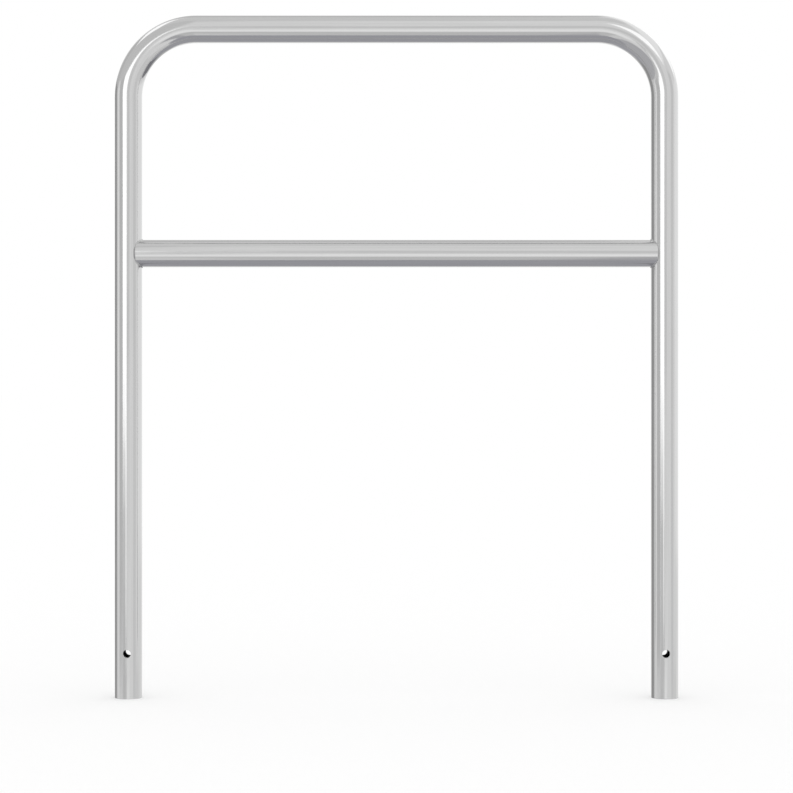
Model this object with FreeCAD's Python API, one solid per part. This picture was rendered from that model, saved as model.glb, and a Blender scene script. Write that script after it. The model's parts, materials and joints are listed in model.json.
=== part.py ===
import FreeCAD, Part
import math
import os

os.makedirs("parts", exist_ok=True)

# The frame: X runs across the hoop, Y through it and Z up.
# The origin lies on the ground line, midway between the two legs.

# Driving dimensions of the bent hoop, in millimetres
TUBE_DIAMETER = 48.3
TUBE_WALL = 2.6
OVERALL_WIDTH = 1000.0
HEIGHT_ABOVE_GROUND = 890.0
ROOT_DEPTH = 320.0
BEND_RADIUS = 2.5 * TUBE_DIAMETER

# Driving dimensions of the horizontal rail
RAIL_DROP = 398.0
EAR_TRIM = 15.0

# Driving dimensions of the cross-drilled anchor holes in the buried legs
ANCHOR_HOLE_DIAMETER = 14.0
ANCHOR_HOLE_RISE = 80.0

# Driving dimensions of the flat-faced fillet weld along each seam
WELD_THROAT = 1.8
WELD_SPREAD = 6.0
EAR_WELD_REACH = 3.7
EAR_WELD_ROOT = 3.0
EAR_WELD_STEP = 0.8

# Sizes that follow from the driving dimensions
TUBE_RADIUS = TUBE_DIAMETER / 2
BORE_RADIUS = TUBE_RADIUS - TUBE_WALL
LEG_X = OVERALL_WIDTH / 2 - TUBE_RADIUS
TOP_Z = HEIGHT_ABOVE_GROUND - TUBE_RADIUS
BEND_Z = TOP_Z - BEND_RADIUS
BEND_X = LEG_X - BEND_RADIUS
RAIL_Z = TOP_Z - RAIL_DROP

X_AXIS = FreeCAD.Vector(1, 0, 0)
Y_AXIS = FreeCAD.Vector(0, 1, 0)
Z_AXIS = FreeCAD.Vector(0, 0, 1)


def point(x, y, z):
    return FreeCAD.Vector(x, y, z)


def save(shape, node):
    shape.exportStep("parts/" + node + ".step")


def hoop_centreline():
    """The bent tube's axis: up the left leg, over the top and down the right leg."""
    bend_middle = BEND_RADIUS * math.sin(math.radians(45))
    left_end = point(-LEG_X, 0, -ROOT_DEPTH)
    left_bend_start = point(-LEG_X, 0, BEND_Z)
    left_bend_middle = point(-BEND_X - bend_middle, 0, BEND_Z + bend_middle)
    left_bend_end = point(-BEND_X, 0, TOP_Z)
    right_bend_start = point(BEND_X, 0, TOP_Z)
    right_bend_middle = point(BEND_X + bend_middle, 0, BEND_Z + bend_middle)
    right_bend_end = point(LEG_X, 0, BEND_Z)
    right_end = point(LEG_X, 0, -ROOT_DEPTH)
    return Part.Wire([
        Part.makeLine(left_end, left_bend_start),
        Part.Arc(left_bend_start, left_bend_middle, left_bend_end).toShape(),
        Part.makeLine(left_bend_end, right_bend_start),
        Part.Arc(right_bend_start, right_bend_middle, right_bend_end).toShape(),
        Part.makeLine(right_bend_end, right_end),
    ])


def swept_round(radius, path):
    """A solid round bar of the given radius along a path that starts upwards."""
    start = path.Vertexes[0].Point
    outline = Part.Wire(Part.makeCircle(radius, start, Z_AXIS))
    return path.makePipe(Part.Face(outline))


def anchor_hole(leg_x):
    """The bar that drills one leg right through, from front to back."""
    hole_start = point(leg_x, -TUBE_DIAMETER, ANCHOR_HOLE_RISE - ROOT_DEPTH)
    return Part.makeCylinder(ANCHOR_HOLE_DIAMETER / 2, 2 * TUBE_DIAMETER, hole_start, Y_AXIS)


def hoop_tube():
    """One tube bent into both legs and the top bar, open at its two cut ends."""
    path = hoop_centreline()
    tube = swept_round(TUBE_RADIUS, path).cut(swept_round(BORE_RADIUS, path))
    for leg_x in (-LEG_X, LEG_X):
        tube = tube.cut(anchor_hole(leg_x))
    return tube


def leg_outline(leg_x):
    """The outside of one leg over the height of the rail, as a solid bar."""
    bottom = point(leg_x, 0, RAIL_Z - TUBE_DIAMETER)
    return Part.makeCylinder(TUBE_RADIUS, 2 * TUBE_DIAMETER, bottom, Z_AXIS)


def rail_bar(radius, half_length):
    """A round bar along the rail's axis, of the same length to either side of the middle."""
    return Part.makeCylinder(radius, 2 * half_length, point(-half_length, 0, RAIL_Z), X_AXIS)


def mid_rail():
    """The rail: a blank cut square, then coped at both ends to sit round the legs."""
    half_blank = LEG_X - EAR_TRIM
    rail = rail_bar(TUBE_RADIUS, half_blank).cut(rail_bar(BORE_RADIUS, half_blank))
    for leg_x in (-LEG_X, LEG_X):
        rail = rail.cut(leg_outline(leg_x))
    return rail


def saddle_weld(slope):
    """Fillet over the crotch above the rail (slope 1) or under it (slope -1), at the left leg.

    Equal tubes that cross at a right angle meet along a flat curve, so one short drum
    lying in that plane faces the fillet all the way from ear to ear.
    """
    ear_y = math.sqrt(TUBE_RADIUS ** 2 - EAR_TRIM ** 2)
    front_ear = point(EAR_TRIM - LEG_X, -ear_y, RAIL_Z + slope * EAR_TRIM)
    crotch = point(TUBE_RADIUS - LEG_X, 0, RAIL_Z + slope * TUBE_RADIUS)
    back_ear = point(EAR_TRIM - LEG_X, ear_y, RAIL_Z + slope * EAR_TRIM)
    seam = Part.Arc(front_ear, crotch, back_ear).toShape().Curve
    across = point(1, 0, -slope).normalize()
    drum_start = seam.Center - across * WELD_SPREAD
    drum = Part.makeCylinder(seam.Radius + WELD_THROAT, 2 * WELD_SPREAD, drum_start, across)
    return drum.cut(rail_bar(TUBE_RADIUS, LEG_X))


def ear_weld(side):
    """Wedge that fills under one ear's flat end, in front (side -1) or behind (side 1)."""
    toe_x = EAR_TRIM - EAR_WELD_REACH
    toe_y = math.sqrt(TUBE_RADIUS ** 2 - toe_x ** 2)
    face_y = TUBE_RADIUS - EAR_WELD_STEP
    outline = Part.makePolygon([
        point(toe_x - LEG_X, 0, RAIL_Z - EAR_TRIM),
        point(toe_x - LEG_X, side * toe_y, RAIL_Z - EAR_TRIM),
        point(EAR_TRIM - LEG_X, side * face_y, RAIL_Z - EAR_TRIM),
        point(EAR_TRIM + EAR_WELD_ROOT - LEG_X, side * face_y, RAIL_Z - EAR_TRIM),
        point(EAR_TRIM + EAR_WELD_ROOT - LEG_X, 0, RAIL_Z - EAR_TRIM),
        point(toe_x - LEG_X, 0, RAIL_Z - EAR_TRIM),
    ])
    wedge = Part.Face(outline).extrude(point(0, 0, 2 * EAR_TRIM))
    return wedge.common(rail_bar(TUBE_RADIUS, LEG_X))


def left_weld(rail):
    """The seam round the rail's left end: two saddle fillets joined up both ears."""
    leg = leg_outline(-LEG_X)
    saddles = [saddle_weld(slope).cut(leg) for slope in (-1, 1)]
    ears = [ear_weld(side).cut(leg).cut(rail) for side in (-1, 1)]
    return saddles[0].multiFuse(saddles[1:] + ears)


rail = mid_rail()
weld = left_weld(rail)
save(hoop_tube(), "hoop_tube")
save(rail, "mid_rail")
save(weld, "left_weld")
save(weld.mirror(point(0, 0, 0), X_AXIS), "right_weld")
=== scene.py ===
import bpy
import json
import math
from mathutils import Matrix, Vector


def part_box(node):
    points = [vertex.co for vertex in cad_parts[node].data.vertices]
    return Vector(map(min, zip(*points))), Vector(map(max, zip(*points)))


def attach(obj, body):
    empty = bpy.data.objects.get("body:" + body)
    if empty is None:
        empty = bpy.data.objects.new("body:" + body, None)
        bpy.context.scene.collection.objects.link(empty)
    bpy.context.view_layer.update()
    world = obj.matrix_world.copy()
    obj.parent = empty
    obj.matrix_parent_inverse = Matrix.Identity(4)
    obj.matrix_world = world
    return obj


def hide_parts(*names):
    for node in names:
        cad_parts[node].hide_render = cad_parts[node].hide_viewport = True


bl_info = {
    "name": "Hoop bike rack",
    "version": (1, 0, 0),
    "blender": (4, 5, 0),
    "location": "View3D > Sidebar > Hoop",
    "description": "Builds a bent and welded tube hoop with a mid rail, and a stage to show it on",
    "category": "Object",
}

# Sizes that the solids settle, in metres.
# X runs across the hoop, Y through it from front to back, and Z up from the ground line.
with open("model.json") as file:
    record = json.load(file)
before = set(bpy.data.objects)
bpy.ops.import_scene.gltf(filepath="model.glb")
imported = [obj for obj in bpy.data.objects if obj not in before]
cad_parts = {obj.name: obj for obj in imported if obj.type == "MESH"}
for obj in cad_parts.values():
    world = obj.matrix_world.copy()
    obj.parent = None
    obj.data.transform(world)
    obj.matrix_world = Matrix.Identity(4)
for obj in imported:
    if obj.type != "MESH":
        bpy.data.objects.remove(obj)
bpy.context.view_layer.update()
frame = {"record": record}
HOOP_LOW, HOOP_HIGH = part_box("hoop_tube")
RAIL_LOW, RAIL_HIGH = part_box("mid_rail")
ANCHOR_HOLE = next(m for m in frame["record"]["mounts"] if m["name"] == "left_anchor_hole")

TUBE_RADIUS = (HOOP_HIGH.y - HOOP_LOW.y) / 2
LEG_X = HOOP_HIGH.x - TUBE_RADIUS
TOP_Z = HOOP_HIGH.z - TUBE_RADIUS
LEG_END_Z = HOOP_LOW.z
RAIL_Z = (RAIL_LOW.z + RAIL_HIGH.z) / 2
EAR_TRIM = LEG_X - RAIL_HIGH.x
HOLE_RADIUS = ANCHOR_HOLE["dims"]["r_mm"] / 1000
HOLE_Z = ANCHOR_HOLE["pos_m"][2]

# The photo's frame, in the plane of the hoop
PICTURE_PIXELS = 793
METRES_PER_PIXEL = 0.0017751

# Meshes of the tubes: gaps in metres, and counts of flats, rings and segments
MERGE_GAP = 1e-6
HOLE_FLATS = 96
HOLE_RINGS = 8
HOLE_RING_GAP = 0.0012
HOLE_RIM_BAND = 3e-5
COPE_FLATS = 256
COPE_RINGS = 11
COPE_RING_GAP = 0.0015
EDGE_SEGMENTS = 2

# Smooth shading: the sharpest angles that it crosses, in degrees, and how far large faces lead
TUBE_SMOOTH_ANGLE = 35
WELD_SMOOTH_ANGLE = 80
LARGE_FACE_WEIGHT = 100

# The height, in metres, over which a weld turns round the corner of an ear
EAR_CORNER = 0.003

# A weld's section: its points, and its crown and its root as shares of its width
WELD_FACETS = 20
WELD_CROWN = 0.13
WELD_ROOT = 0.72

# A weld's ripples: their height in metres, their points along the seam, how far, in ripples,
# the middle of each one trails behind its ends, and the points that measure the seam
RIPPLE_HEIGHT = 0.00008
POINTS_PER_RIPPLE = 8
RIPPLE_LAG = 0.8
SEAM_SAMPLES = 360

# Marks of the belt polish: name, noise cells per metre along the tube and across it, noise
# detail, and how strongly the mark shifts the tone and the roughness. All share one noise
# roughness, and their shifts are taken from one middle value.
MARKS = (
    ("lines", (18, 3200), 3, 0.10, 0.10),
    ("streaks", (2.2, 260), 2, 0.22, 0.10),
    ("wiping", (9, 34), 3, 0.05, 0.16),
)
MARK_ROUGHNESS = 0.55
MARK_MIDDLE = 0.5

# Depth of the streaks against that of the lines
STREAK_DEPTH = 1.5

# Shift of the rail's lay, in metres, which gives the rail other marks than the hoop's
RAIL_LAY_SHIFT = 0.3

# Strength of the marks' tones on each finish, and the depth of its relief in metres
TUBE_STREAKS = 0.7
TUBE_RELIEF = 4e-6
WELD_STREAKS = 0.6
WELD_RELIEF = 1e-5


class TubeSizes(bpy.types.PropertyGroup):
    """Sizes of the bent tube, the rail and the welds."""

    bend_radius: bpy.props.FloatProperty(
        name="Bend radius", description="Radius of each bend, to the middle of the tube",
        default=5 * TUBE_RADIUS, unit="LENGTH")
    wall: bpy.props.FloatProperty(
        name="Wall", description="Wall thickness of both tubes",
        default=0.0026, unit="LENGTH")
    deburr: bpy.props.FloatProperty(
        name="Deburr", description="Width of the broken edge at cut ends and holes",
        default=0.0005, unit="LENGTH")
    facets: bpy.props.IntProperty(
        name="Facets", description="Flats round each tube", default=128, min=16)
    bend_steps: bpy.props.IntProperty(
        name="Bend steps", description="Rings along each bend", default=48, min=8)
    fillet: bpy.props.FloatProperty(
        name="Fillet", description="Width of the weld along each tube, over the crotches",
        default=0.0016, unit="LENGTH")
    ear_fillet: bpy.props.FloatProperty(
        name="Ear fillet", description="Width of the weld along the leg, at the middle of each ear",
        default=0.0030, unit="LENGTH")
    ear_step: bpy.props.FloatProperty(
        name="Ear step", description="Step from the ear's face down to its weld",
        default=0.0012, unit="LENGTH")
    ripple_pitch: bpy.props.FloatProperty(
        name="Ripple pitch", description="Distance from one weld ripple to the next",
        default=0.0016, unit="LENGTH")


class FinishSettings(bpy.types.PropertyGroup):
    """Colours and polish of the steel."""

    steel: bpy.props.FloatVectorProperty(
        name="Steel", description="Colour of the polished tube",
        default=(0.60, 0.60, 0.60), size=3, subtype="COLOR")
    weld: bpy.props.FloatVectorProperty(
        name="Weld", description="Colour of the dressed weld",
        default=(0.47, 0.47, 0.47), size=3, subtype="COLOR")
    tube_roughness: bpy.props.FloatProperty(
        name="Tube roughness", description="Roughness of the polished tube",
        default=0.11, subtype="FACTOR")
    weld_roughness: bpy.props.FloatProperty(
        name="Weld roughness", description="Roughness of the dressed weld",
        default=0.26, subtype="FACTOR")


class StageSettings(bpy.types.PropertyGroup):
    """Camera, floor and studio."""

    camera_distance: bpy.props.FloatProperty(
        name="Camera distance", description="From the camera to the plane of the hoop",
        default=3.8236, unit="LENGTH")
    camera_height: bpy.props.FloatProperty(
        name="Camera height", description="Height of the level camera above the ground line",
        default=0.2142, unit="LENGTH")
    picture_width: bpy.props.FloatProperty(
        name="Picture width", description="Width of the hoop's plane that the picture takes in",
        default=METRES_PER_PIXEL * PICTURE_PIXELS, unit="LENGTH")
    studio_radius: bpy.props.FloatProperty(
        name="Studio radius", description="Distance of the lamps from the hoop",
        default=40, unit="LENGTH")
    floor_colour: bpy.props.FloatVectorProperty(
        name="Floor", description="Colour of the floor",
        default=(0.80, 0.80, 0.80), size=3, subtype="COLOR")


# Modelling helpers

def start_clean():
    """Leaves edit mode and deselects every object."""
    if bpy.context.object and bpy.context.object.mode != "OBJECT":
        bpy.ops.object.mode_set(mode="OBJECT")
    bpy.ops.object.select_all(action="DESELECT")


def put_place_in_mesh():
    """Moves the active object's place and turn into its mesh."""
    bpy.ops.object.transform_apply(location=True, rotation=True, scale=True)


def select_edges(piece, wanted):
    """In edit mode, selects exactly the edges whose two ends both pass the test."""
    bpy.ops.mesh.select_mode(type="EDGE")
    bpy.ops.mesh.select_all(action="DESELECT")
    bpy.ops.object.mode_set(mode="OBJECT")
    points = piece.data.vertices
    for edge in piece.data.edges:
        edge.select = all(wanted(points[end].co) for end in edge.vertices)
    bpy.ops.object.mode_set(mode="EDIT")


def pull_rings(axis, stations, start):
    """Extrudes the selected ring from its start along one axis, with a ring at each station."""
    at = start
    for station in stations:
        step = [0.0, 0.0, 0.0]
        step[axis] = station - at
        bpy.ops.mesh.extrude_region_move(TRANSFORM_OT_translate={"value": step})
        at = station


def bend_ring(steps, bend_x, bend_z):
    """Spins the selected ring a quarter turn clockwise, as seen from the front."""
    bpy.ops.mesh.spin(
        steps=steps, angle=math.radians(90), center=(bend_x, 0, bend_z), axis=(0, -1, 0))


def give_wall(piece, wall):
    """Thickens an open tube, whose axis lies in the plane y = 0, inwards."""
    outward = sum(face.normal.y * face.center.y for face in piece.data.polygons)
    if outward < 0:
        piece.data.flip_normals()
    solid = piece.modifiers.new("wall", "SOLIDIFY")
    solid.thickness = wall
    solid.offset = -1
    bpy.ops.object.modifier_apply(modifier=solid.name)


def cut_away(piece, radius, centre, turn, flats):
    """Takes a long round bar out of the piece."""
    bpy.ops.object.select_all(action="DESELECT")
    bpy.ops.mesh.primitive_cylinder_add(
        vertices=flats, radius=radius, depth=4 * TUBE_RADIUS, location=centre, rotation=turn)
    bar = bpy.context.object
    put_place_in_mesh()
    cut = piece.modifiers.new("cut", "BOOLEAN")
    cut.operation = "DIFFERENCE"
    cut.solver = "EXACT"
    cut.object = bar
    bpy.context.view_layer.objects.active = piece
    bpy.ops.object.modifier_apply(modifier=cut.name)
    bpy.data.objects.remove(bar)


def break_edges(piece, wanted, width):
    """Bevels the chosen edges by a small width."""
    bpy.context.view_layer.objects.active = piece
    bpy.ops.object.mode_set(mode="EDIT")
    select_edges(piece, wanted)
    bpy.ops.mesh.bevel(offset=width, segments=EDGE_SEGMENTS, affect="EDGES")
    bpy.ops.object.mode_set(mode="OBJECT")


def mend_shell(piece):
    """Merges doubles and turns the faces of a closed shell outwards."""
    start_clean()
    piece.select_set(True)
    bpy.context.view_layer.objects.active = piece
    bpy.ops.object.mode_set(mode="EDIT")
    bpy.ops.mesh.select_all(action="SELECT")
    bpy.ops.mesh.remove_doubles(threshold=MERGE_GAP)
    bpy.ops.mesh.normals_make_consistent(inside=False)
    bpy.ops.object.mode_set(mode="OBJECT")


def write_lay(piece, lay):
    """Stores where each point would lie if its tube were straight, for the finish to follow."""
    store = piece.data.attributes.new("lay", "FLOAT_VECTOR", "POINT")
    for point, place in zip(piece.data.vertices, store.data):
        place.vector = lay(point.co)


def finish_piece(piece, name, material, node, smooth_angle=TUBE_SMOOTH_ANGLE):
    """Smooths and names a piece, and lets it stand for its solid."""
    start_clean()
    piece.select_set(True)
    bpy.context.view_layer.objects.active = piece
    bpy.ops.object.shade_smooth_by_angle(angle=math.radians(smooth_angle))
    level = piece.modifiers.new("level", "WEIGHTED_NORMAL")
    level.mode = "FACE_AREA"
    level.weight = LARGE_FACE_WEIGHT
    level.keep_sharp = True
    bpy.ops.object.modifier_apply(modifier=level.name)
    piece.name = name
    piece.data.name = name
    piece.data.materials.clear()
    piece.data.materials.append(material)
    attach(piece, "root")
    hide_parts(node)


# Finishes

def add_node(tree, kind, **settings):
    """Adds a shader node; each setting names one of its properties or of its inputs."""
    node = tree.nodes.new(kind)
    for name, value in settings.items():
        if hasattr(node, name):
            setattr(node, name, value)
        else:
            node.inputs[name].default_value = value
    return node


def lined_noise(tree, lay, cells, detail):
    """Noise drawn out along the tube, with so many cells per metre along it and across it."""
    along, across = cells
    scaled = add_node(tree, "ShaderNodeVectorMath", operation="MULTIPLY")
    scaled.inputs[1].default_value = (along, across, across)
    noise = add_node(tree, "ShaderNodeTexNoise", Scale=1, Detail=detail, Roughness=MARK_ROUGHNESS)
    tree.links.new(lay, scaled.inputs[0])
    tree.links.new(scaled.outputs[0], noise.inputs["Vector"])
    return noise.outputs["Fac"]


def weigh(tree, mark, amount):
    """The mark's departure from its middle value, times the amount."""
    centred = add_node(tree, "ShaderNodeMath", operation="MULTIPLY_ADD")
    tree.links.new(mark, centred.inputs[0])
    centred.inputs[1].default_value = amount
    centred.inputs[2].default_value = -MARK_MIDDLE * amount
    return centred.outputs[0]


def add_up(tree, values):
    """Adds values together."""
    total = values[0]
    for value in values[1:]:
        plus = add_node(tree, "ShaderNodeMath", operation="ADD")
        tree.links.new(total, plus.inputs[0])
        tree.links.new(value, plus.inputs[1])
        total = plus.outputs[0]
    return total


def polish_group():
    """Belt-polished steel: fine lines, drawn streaks and faint wiping marks along the tube."""
    made = bpy.data.node_groups.get("belt_polish")
    if made:
        return made
    group = bpy.data.node_groups.new("belt_polish", "ShaderNodeTree")
    for name, kind, way in (
            ("Lay", "NodeSocketVector", "INPUT"), ("Colour", "NodeSocketColor", "INPUT"),
            ("Roughness", "NodeSocketFloat", "INPUT"), ("Streaks", "NodeSocketFloat", "INPUT"),
            ("Colour", "NodeSocketColor", "OUTPUT"), ("Roughness", "NodeSocketFloat", "OUTPUT"),
            ("Height", "NodeSocketFloat", "OUTPUT")):
        group.interface.new_socket(name=name, in_out=way, socket_type=kind)
    given = add_node(group, "NodeGroupInput")
    result = add_node(group, "NodeGroupOutput")

    marks = {}
    tones = []
    roughnesses = [given.outputs["Roughness"]]
    for name, cells, detail, tone_weight, roughness_weight in MARKS:
        mark = lined_noise(group, given.outputs["Lay"], cells, detail)
        marks[name] = mark
        tones.append(weigh(group, mark, tone_weight))
        roughnesses.append(weigh(group, mark, roughness_weight))

    factor = add_node(group, "ShaderNodeMath", operation="MULTIPLY_ADD")
    factor.inputs[2].default_value = 1
    group.links.new(add_up(group, tones), factor.inputs[0])
    group.links.new(given.outputs["Streaks"], factor.inputs[1])
    shaded = add_node(group, "ShaderNodeVectorMath", operation="SCALE")
    group.links.new(given.outputs["Colour"], shaded.inputs[0])
    group.links.new(factor.outputs[0], shaded.inputs["Scale"])
    group.links.new(shaded.outputs[0], result.inputs["Colour"])

    group.links.new(add_up(group, roughnesses), result.inputs["Roughness"])
    height = add_up(group, [marks["lines"], weigh(group, marks["streaks"], STREAK_DEPTH)])
    group.links.new(height, result.inputs["Height"])
    return group


def steel_material(name, colour, roughness, streaks, relief):
    """Steel with the belt polish, at its own strength and depth."""
    material = bpy.data.materials.new(name)
    material.use_nodes = True
    tree = material.node_tree
    shader = tree.nodes["Principled BSDF"]
    shader.inputs["Metallic"].default_value = 1
    lay = add_node(tree, "ShaderNodeAttribute", attribute_name="lay")
    polish = add_node(tree, "ShaderNodeGroup")
    polish.node_tree = polish_group()
    polish.inputs["Colour"].default_value = (*colour, 1)
    polish.inputs["Roughness"].default_value = roughness
    polish.inputs["Streaks"].default_value = streaks
    bump = add_node(tree, "ShaderNodeBump", Strength=1, Distance=relief)
    tree.links.new(lay.outputs["Vector"], polish.inputs["Lay"])
    tree.links.new(polish.outputs["Colour"], shader.inputs["Base Color"])
    tree.links.new(polish.outputs["Roughness"], shader.inputs["Roughness"])
    tree.links.new(polish.outputs["Height"], bump.inputs["Height"])
    tree.links.new(bump.outputs["Normal"], shader.inputs["Normal"])
    return material


def tube_steel():
    """The material that the bent tube and the rail share."""
    made = bpy.data.materials.get("polished_tube")
    if made:
        return made
    finish = bpy.context.scene.hoop_finish
    return steel_material(
        "polished_tube", finish.steel, finish.tube_roughness, TUBE_STREAKS, TUBE_RELIEF)


# Pieces

class HOOP_OT_bent_tube(bpy.types.Operator):
    """Bends the hoop out of one tube and drills its legs."""

    bl_idname = "hoop.bent_tube"
    bl_label = "Bent tube"

    def execute(self, context):
        sizes = context.scene.hoop_sizes
        bend_z = TOP_Z - sizes.bend_radius
        bend_x = LEG_X - sizes.bend_radius
        steps = range(-HOLE_RINGS, HOLE_RINGS + 1)
        hole_rings = [HOLE_Z + step * HOLE_RING_GAP for step in steps]
        leg_rings = hole_rings + [RAIL_Z - TUBE_RADIUS, RAIL_Z + TUBE_RADIUS]
        start_clean()
        bpy.ops.mesh.primitive_circle_add(
            vertices=sizes.facets, radius=TUBE_RADIUS, location=(-LEG_X, 0, LEG_END_Z))
        tube = context.object
        put_place_in_mesh()
        bpy.ops.object.mode_set(mode="EDIT")
        bpy.ops.mesh.select_all(action="SELECT")
        pull_rings(2, leg_rings + [bend_z], LEG_END_Z)
        bend_ring(sizes.bend_steps, -bend_x, bend_z)
        pull_rings(0, [0, bend_x], -bend_x)
        bend_ring(sizes.bend_steps, bend_x, bend_z)
        pull_rings(2, leg_rings[::-1] + [LEG_END_Z], bend_z)
        bpy.ops.mesh.select_all(action="SELECT")
        bpy.ops.mesh.remove_doubles(threshold=MERGE_GAP)
        bpy.ops.mesh.normals_make_consistent(inside=False)
        bpy.ops.object.mode_set(mode="OBJECT")
        give_wall(tube, sizes.wall)
        break_edges(tube, lambda at: abs(at.z - LEG_END_Z) < MERGE_GAP, sizes.deburr)
        for side in (-1, 1):
            hole_centre = (side * LEG_X, 0, HOLE_Z)
            cut_away(tube, HOLE_RADIUS, hole_centre, (math.radians(90), 0, 0), HOLE_FLATS)
        mend_shell(tube)

        def on_hole_rim(at):
            from_leg = math.hypot(abs(at.x) - LEG_X, at.y)
            from_hole = math.hypot(abs(at.x) - LEG_X, at.z - HOLE_Z)
            past_leg = abs(from_leg - TUBE_RADIUS)
            past_hole = abs(from_hole - HOLE_RADIUS)
            return max(past_leg, past_hole) < HOLE_RIM_BAND

        break_edges(tube, on_hole_rim, sizes.deburr)

        def straightened(at):
            side = -1 if at.x < 0 else 1
            reach = abs(at.x)
            if at.z < bend_z:
                along = bend_x + sizes.bend_radius * math.pi / 2 + bend_z - at.z
                return (side * along, reach - LEG_X, at.y)
            if reach < bend_x:
                return (at.x, at.z - TOP_Z, at.y)
            turn = math.atan2(reach - bend_x, at.z - bend_z)
            out = math.hypot(reach - bend_x, at.z - bend_z) - sizes.bend_radius
            return (side * (bend_x + sizes.bend_radius * turn), out, at.y)

        write_lay(tube, straightened)
        finish_piece(tube, "bent_tube", tube_steel(), "hoop_tube")
        return {"FINISHED"}


class HOOP_OT_coped_rail(bpy.types.Operator):
    """Cuts the rail's tube to length and copes both ends round the legs."""

    bl_idname = "hoop.coped_rail"
    bl_label = "Coped rail"

    def execute(self, context):
        sizes = context.scene.hoop_sizes
        half = LEG_X - EAR_TRIM
        end_rings = [half - step * COPE_RING_GAP for step in range(1, COPE_RINGS + 1)]
        start_clean()
        bpy.ops.mesh.primitive_circle_add(
            vertices=sizes.facets, radius=TUBE_RADIUS, location=(-half, 0, RAIL_Z),
            rotation=(0, math.radians(90), 0))
        rail = context.object
        put_place_in_mesh()
        bpy.ops.object.mode_set(mode="EDIT")
        bpy.ops.mesh.select_all(action="SELECT")
        pull_rings(0, [-x for x in end_rings] + [0] + end_rings[::-1] + [half], -half)
        bpy.ops.object.mode_set(mode="OBJECT")
        give_wall(rail, sizes.wall)
        for side in (-1, 1):
            cut_away(rail, TUBE_RADIUS, (side * LEG_X, 0, RAIL_Z), (0, 0, 0), COPE_FLATS)
        mend_shell(rail)
        write_lay(rail, lambda at: (at.x, at.z - RAIL_Z, at.y + RAIL_LAY_SHIFT))
        finish_piece(rail, "coped_rail", tube_steel(), "mid_rail")
        return {"FINISHED"}


def past_ear_corner(height):
    """0 over the crotch and 1 along the ear, with a soft step where the weld turns the corner."""
    share = min(1, max(0, 0.5 + (EAR_TRIM - height) / EAR_CORNER))
    return share * share * (3 - 2 * share)


def weld_toes(turn, sizes):
    """Both edges of the left weld, on the leg and on the rail, at a turn round the rail.

    Places are measured from where the axes of leg and rail cross. Both tubes are of one size, so
    over the crotch the seam lies as far out from the leg's axis as up from the rail's.
    """
    rise = math.cos(turn)
    depth = math.sin(turn)
    height = TUBE_RADIUS * abs(rise)
    past_corner = past_ear_corner(height)
    down_ear = max(0, 1 - (height / EAR_TRIM) ** 2)
    width = sizes.fillet + (sizes.ear_fillet - sizes.fillet) * down_ear
    # Over the crotch the width lies square to the seam, and along the ear it lies level
    slant = 1 / math.hypot(1, depth)
    round_leg = abs(depth) * slant * (1 - past_corner) + past_corner
    up_leg = slant * (1 - past_corner)
    leg_turn = min(math.asin(abs(depth)), math.acos(EAR_TRIM / TUBE_RADIUS))
    leg_turn += width * round_leg / TUBE_RADIUS
    on_leg = Vector((
        TUBE_RADIUS * math.cos(leg_turn),
        math.copysign(TUBE_RADIUS * math.sin(leg_turn), depth),
        TUBE_RADIUS * rise + math.copysign(width * up_leg, rise)))
    on_rail = Vector((
        max(EAR_TRIM, height) + sizes.fillet, TUBE_RADIUS * depth, TUBE_RADIUS * rise))
    ear_radius = TUBE_RADIUS - sizes.ear_step
    on_ear = Vector((EAR_TRIM, ear_radius * depth, ear_radius * rise))
    return on_leg, on_rail.lerp(on_ear, past_corner)


def weld_skin(turn, sweep, sizes, ripples):
    """A point of the left weld's skin.

    The sweep goes round its section: over the face from the leg, at 0, to the rail, half a turn
    on, and back along the root.
    """
    on_leg, on_rail = weld_toes(turn, sizes)
    across = on_rail - on_leg
    out_of_leg = Vector((on_leg.x, on_leg.y, 0)).normalized()
    out_of_rail = Vector((0, math.sin(turn), math.cos(turn)))
    outward = out_of_leg + out_of_rail
    outward -= outward.project(across)
    outward.normalize()
    swell = math.sin(sweep)
    if swell > 0:
        crest = abs(math.sin(math.pi * (turn * ripples / math.tau - RIPPLE_LAG * swell)))
        bulge = across.length * WELD_CROWN * swell ** 2 + RIPPLE_HEIGHT * crest * swell
    else:
        bulge = across.length * WELD_ROOT * swell
    middle = Vector((-LEG_X, 0, RAIL_Z)) + (on_leg + on_rail) / 2
    return middle - across * math.cos(sweep) / 2 + outward * bulge


def seam_length(sizes):
    """Length of a weld along its edge on the rail."""
    turns = [math.tau * step / SEAM_SAMPLES for step in range(SEAM_SAMPLES)]
    toes = [weld_toes(turn, sizes)[1] for turn in turns]
    return sum((toe - toes[step - 1]).length for step, toe in enumerate(toes))


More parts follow.
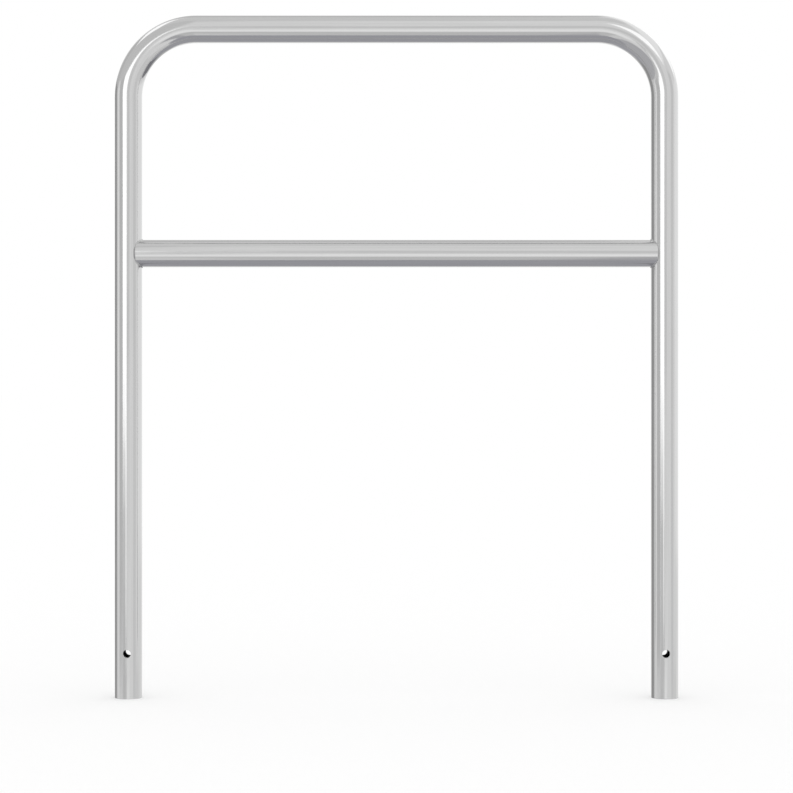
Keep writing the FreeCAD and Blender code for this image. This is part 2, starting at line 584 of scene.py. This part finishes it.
class HOOP_OT_weld_seams(bpy.types.Operator):
    """Lays a rippled fillet weld round each end of the rail."""

    bl_idname = "hoop.weld_seams"
    bl_label = "Weld seams"

    def execute(self, context):
        sizes = context.scene.hoop_sizes
        finish = context.scene.hoop_finish
        ripples = round(seam_length(sizes) / sizes.ripple_pitch)
        start_clean()
        bpy.ops.mesh.primitive_grid_add(
            x_subdivisions=ripples * POINTS_PER_RIPPLE, y_subdivisions=WELD_FACETS, size=1)
        seam = context.object
        for point in seam.data.vertices:
            turn = point.co.x * math.tau
            sweep = point.co.y * math.tau
            point.co = weld_skin(turn, sweep, sizes, ripples)
        mend_shell(seam)
        bpy.ops.object.duplicate()
        mirrored = context.object
        bpy.ops.object.mode_set(mode="EDIT")
        bpy.ops.mesh.select_all(action="SELECT")
        bpy.ops.transform.resize(value=(-1, 1, 1), center_override=(0, 0, 0))
        bpy.ops.object.mode_set(mode="OBJECT")
        mend_shell(mirrored)
        material = steel_material(
            "dressed_weld", finish.weld, finish.weld_roughness, WELD_STREAKS, WELD_RELIEF)
        for piece, name, node in (
                (seam, "left_seam", "left_weld"), (mirrored, "right_seam", "right_weld")):
            write_lay(piece, lambda at: (at.y, at.x, at.z))
            finish_piece(piece, name, material, node, WELD_SMOOTH_ANGLE)
        return {"FINISHED"}


# Stage

# Lamps: name, the azimuths and elevations that each one fills, in degrees, and its glow
LAMPS = (
    ("front_left_softbox", (-42, -8.5), (-1.5, 5), 0.8),
    ("front_left_upper_softbox", (-42, -8), (5, 18), 0.8),
    ("front_left_low_strip", (-19, -9), (-7, -1.5), 0.5),
    ("right_upper_softbox", (18, 47), (24, 49), 0.6),
    ("back_right_softbox", (112, 160), (20, 37), 0.5),
    ("back_left_upper_softbox", (-142, -92), (44, 64), 0.6),
    ("right_high_fill", (46, 170), (40, 62), 0.22),
    ("right_fill", (86, 165), (-5, 20), 0.13),
    ("left_fill", (-97, -74), (-4, 14), 0.1),
    ("front_low_fill", (-11, 14), (-27, -9), 0.18),
)

# Cards: name, azimuths and elevations in degrees, grey, and how much bluer than grey;
# each hangs in front of those above it
CARDS = (
    ("overhead_card", (-180, 180), (66, 90), 0.88, 0),
    ("underfoot_card", (-180, 180), (-90, -60), 0.47, 0.035),
    ("back_upper_card", (168, 204), (14, 66), 0.72, 0),
    ("left_upper_card", (-97, -11), (18, 66), 0.80, 0),
    ("left_card", (-74, -43), (-8, 18), 0.72, 0),
    ("left_side_card", (-108, -97), (-9, 46), 0.76, 0),
    ("back_left_card", (-146, -108), (14, 46), 0.68, 0),
    ("back_left_dark_card", (-151, -108), (-28, 14), 0.42, 0),
    ("left_low_card", (-108, -24), (-60, -10), 0.6, 0.02),
    ("front_left_low_card", (-42, -5), (-11, -3), 0.76, 0),
    ("front_card", (-12, 14), (0, 18), 0.86, 0),
    ("front_low_left_card", (-24, -8), (-60, -30), 0.9, 0),
    ("front_low_card", (-8, 8), (-60, -30), 0.76, 0),
    ("front_low_right_card", (8, 24), (-60, -30), 0.56, 0.02),
    ("right_card", (48, 72), (-30, 22), 0.86, 0),
    ("right_low_card", (60, 104), (-64, -8), 0.88, 0),
    ("back_right_dark_card", (99, 144), (-34, -12), 0.28, 0.02),
    ("back_right_low_card", (104, 168), (-60, -34), 0.47, 0.035),
    ("back_right_side_card", (144, 168), (-34, -9), 0.62, 0),
    ("back_left_low_card", (-168, -108), (-60, -28), 0.52, 0.035),
    ("back_low_card", (168, 192), (-60, -42), 0.46, 0.035),
    ("back_low_strip", (168, 192), (-42, -33), 0.7, 0),
    ("back_left_side_card", (-168, -146), (-28, -9), 0.7, 0),
)

# The first card hangs this many times as far out as the lamps, and each next one is a layer
# nearer, in metres; a grid of columns and rows lets them curve
CARD_DISTANCE = 1.5
CARD_LAYER = 0.3
CARD_COLUMNS = 36
CARD_ROWS = 9

# The floor: its size in metres, its roughness, and the strength that lifts it to white
FLOOR_SIZE = 800
FLOOR_ROUGHNESS = 0.9
FLOOR_LIFT = 0.2

# The camera: sensor in millimetres and farthest sight in metres
SENSOR_WIDTH = 36
FARTHEST_SIGHT = 1000


def card_material(name, grey, bluer):
    """A card that shows one plain tone."""
    material = bpy.data.materials.new(name)
    material.use_nodes = True
    shader = material.node_tree.nodes["Principled BSDF"]
    shader.inputs["Base Color"].default_value = (0, 0, 0, 1)
    shader.inputs["Specular IOR Level"].default_value = 0
    shader.inputs["Emission Color"].default_value = (grey, grey, grey + bluer, 1)
    shader.inputs["Emission Strength"].default_value = 1
    return material


def studio_point(azimuth, elevation, radius):
    """A point round the middle of the rail; azimuth 0 lies in front and 90 to the right."""
    azimuth = math.radians(azimuth)
    elevation = math.radians(elevation)
    level = radius * math.cos(elevation)
    rise = radius * math.sin(elevation)
    return Vector((level * math.sin(azimuth), -level * math.cos(azimuth), RAIL_Z + rise))


def show_only_in_polish(panel):
    """Leaves a panel visible in reflections and nowhere else."""
    panel.visible_camera = False
    panel.visible_diffuse = False
    panel.visible_transmission = False
    panel.visible_shadow = False


def add_card(name, azimuths, elevations, radius, grey, bluer):
    """A curved card that fills those angles, and that only polished surfaces see."""
    start_clean()
    bpy.ops.mesh.primitive_grid_add(x_subdivisions=CARD_COLUMNS, y_subdivisions=CARD_ROWS, size=1)
    card = bpy.context.object
    for point in card.data.vertices:
        azimuth = azimuths[0] + (azimuths[1] - azimuths[0]) * (point.co.x + 0.5)
        elevation = elevations[0] + (elevations[1] - elevations[0]) * (point.co.y + 0.5)
        point.co = studio_point(azimuth, elevation, radius)
    card.name = name
    card.data.materials.append(card_material(name, grey, bluer))
    show_only_in_polish(card)


def add_lamp(name, azimuths, elevations, radius, glow):
    """A large soft lamp, whose glow is the brightness that it adds to what lies behind it."""
    azimuth = sum(azimuths) / 2
    elevation = sum(elevations) / 2
    start_clean()
    bpy.ops.object.light_add(
        type="AREA", location=studio_point(azimuth, elevation, radius),
        rotation=(math.radians(90 - elevation), 0, math.radians(azimuth)))
    lamp = bpy.context.object
    lamp.name = name
    lamp.data.shape = "RECTANGLE"
    level = radius * math.cos(math.radians(elevation))
    lamp.data.size = 2 * level * math.tan(math.radians(azimuths[1] - azimuths[0]) / 2)
    lamp.data.size_y = 2 * radius * math.tan(math.radians(elevations[1] - elevations[0]) / 2)
    lamp.data.energy = math.pi * lamp.data.size * lamp.data.size_y * glow
    lamp.visible_camera = False
    lamp.visible_diffuse = False


class HOOP_OT_stage(bpy.types.Operator):
    """Sets the floor, the lamps, the cards and the camera."""

    bl_idname = "hoop.stage"
    bl_label = "Stage"

    def execute(self, context):
        look = context.scene.hoop_stage
        scene = context.scene
        start_clean()
        bpy.ops.mesh.primitive_plane_add(size=FLOOR_SIZE, location=(0, 0, LEG_END_Z))
        floor = context.object
        floor.name = "floor"
        paint = bpy.data.materials.new("pale_floor")
        paint.use_nodes = True
        tree = paint.node_tree
        shader = tree.nodes["Principled BSDF"]
        shader.inputs["Base Color"].default_value = (*look.floor_colour, 1)
        shader.inputs["Roughness"].default_value = FLOOR_ROUGHNESS
        shader.inputs["Specular IOR Level"].default_value = 0
        shader.inputs["Emission Color"].default_value = (1, 1, 1, 1)
        seen = add_node(tree, "ShaderNodeLightPath")
        either = add_node(tree, "ShaderNodeMath", operation="MAXIMUM")
        any_ray = add_node(tree, "ShaderNodeMath", operation="MAXIMUM")
        lift = add_node(tree, "ShaderNodeMath", operation="MULTIPLY")
        lift.inputs[1].default_value = FLOOR_LIFT
        tree.links.new(seen.outputs["Is Camera Ray"], either.inputs[0])
        tree.links.new(seen.outputs["Is Glossy Ray"], either.inputs[1])
        tree.links.new(either.outputs[0], any_ray.inputs[0])
        tree.links.new(seen.outputs["Is Transmission Ray"], any_ray.inputs[1])
        tree.links.new(any_ray.outputs[0], lift.inputs[0])
        tree.links.new(lift.outputs[0], shader.inputs["Emission Strength"])
        floor.data.materials.append(paint)
        floor.visible_glossy = False
        floor.visible_shadow = False

        world = bpy.data.worlds.new("white_studio")
        world.use_nodes = True
        world.node_tree.nodes["Background"].inputs["Color"].default_value = (1, 1, 1, 1)
        scene.world = world

        for name, azimuths, elevations, glow in LAMPS:
            add_lamp(name, azimuths, elevations, look.studio_radius, glow)
        card_radius = look.studio_radius * CARD_DISTANCE
        for name, azimuths, elevations, grey, bluer in CARDS:
            card_radius -= CARD_LAYER
            add_card(name, azimuths, elevations, card_radius, grey, bluer)

        bpy.ops.object.camera_add(
            location=(0, -look.camera_distance, look.camera_height), rotation=(math.radians(90), 0, 0))
        camera = context.object
        camera.name = "camera"
        camera.data.sensor_width = SENSOR_WIDTH
        camera.data.lens = SENSOR_WIDTH * look.camera_distance / look.picture_width
        camera.data.clip_end = FARTHEST_SIGHT
        scene.camera = camera
        scene.view_settings.view_transform = "Standard"
        return {"FINISHED"}


class HOOP_PT_pieces(bpy.types.Panel):
    """Lists the pieces of the hoop and their settings."""

    bl_label = "Hoop bike rack"
    bl_idname = "HOOP_PT_pieces"
    bl_space_type = "VIEW_3D"
    bl_region_type = "UI"
    bl_category = "Hoop"

    def draw(self, context):
        scene = context.scene
        for settings in (scene.hoop_sizes, scene.hoop_finish, scene.hoop_stage):
            for name in settings.__annotations__:
                self.layout.prop(settings, name)
        for step in STEPS:
            self.layout.operator(step.bl_idname)


STEPS = (HOOP_OT_bent_tube, HOOP_OT_coped_rail, HOOP_OT_weld_seams, HOOP_OT_stage)
CLASSES = (TubeSizes, FinishSettings, StageSettings) + STEPS + (HOOP_PT_pieces,)


def register():
    for kind in CLASSES:
        bpy.utils.register_class(kind)
    bpy.types.Scene.hoop_sizes = bpy.props.PointerProperty(type=TubeSizes)
    bpy.types.Scene.hoop_finish = bpy.props.PointerProperty(type=FinishSettings)
    bpy.types.Scene.hoop_stage = bpy.props.PointerProperty(type=StageSettings)


def unregister():
    del bpy.types.Scene.hoop_stage
    del bpy.types.Scene.hoop_finish
    del bpy.types.Scene.hoop_sizes
    for kind in reversed(CLASSES):
        bpy.utils.unregister_class(kind)


def main():
    register()
    bpy.ops.hoop.bent_tube()
    bpy.ops.hoop.coped_rail()
    bpy.ops.hoop.weld_seams()
    bpy.ops.hoop.stage()


if __name__ == "__main__":
    main()
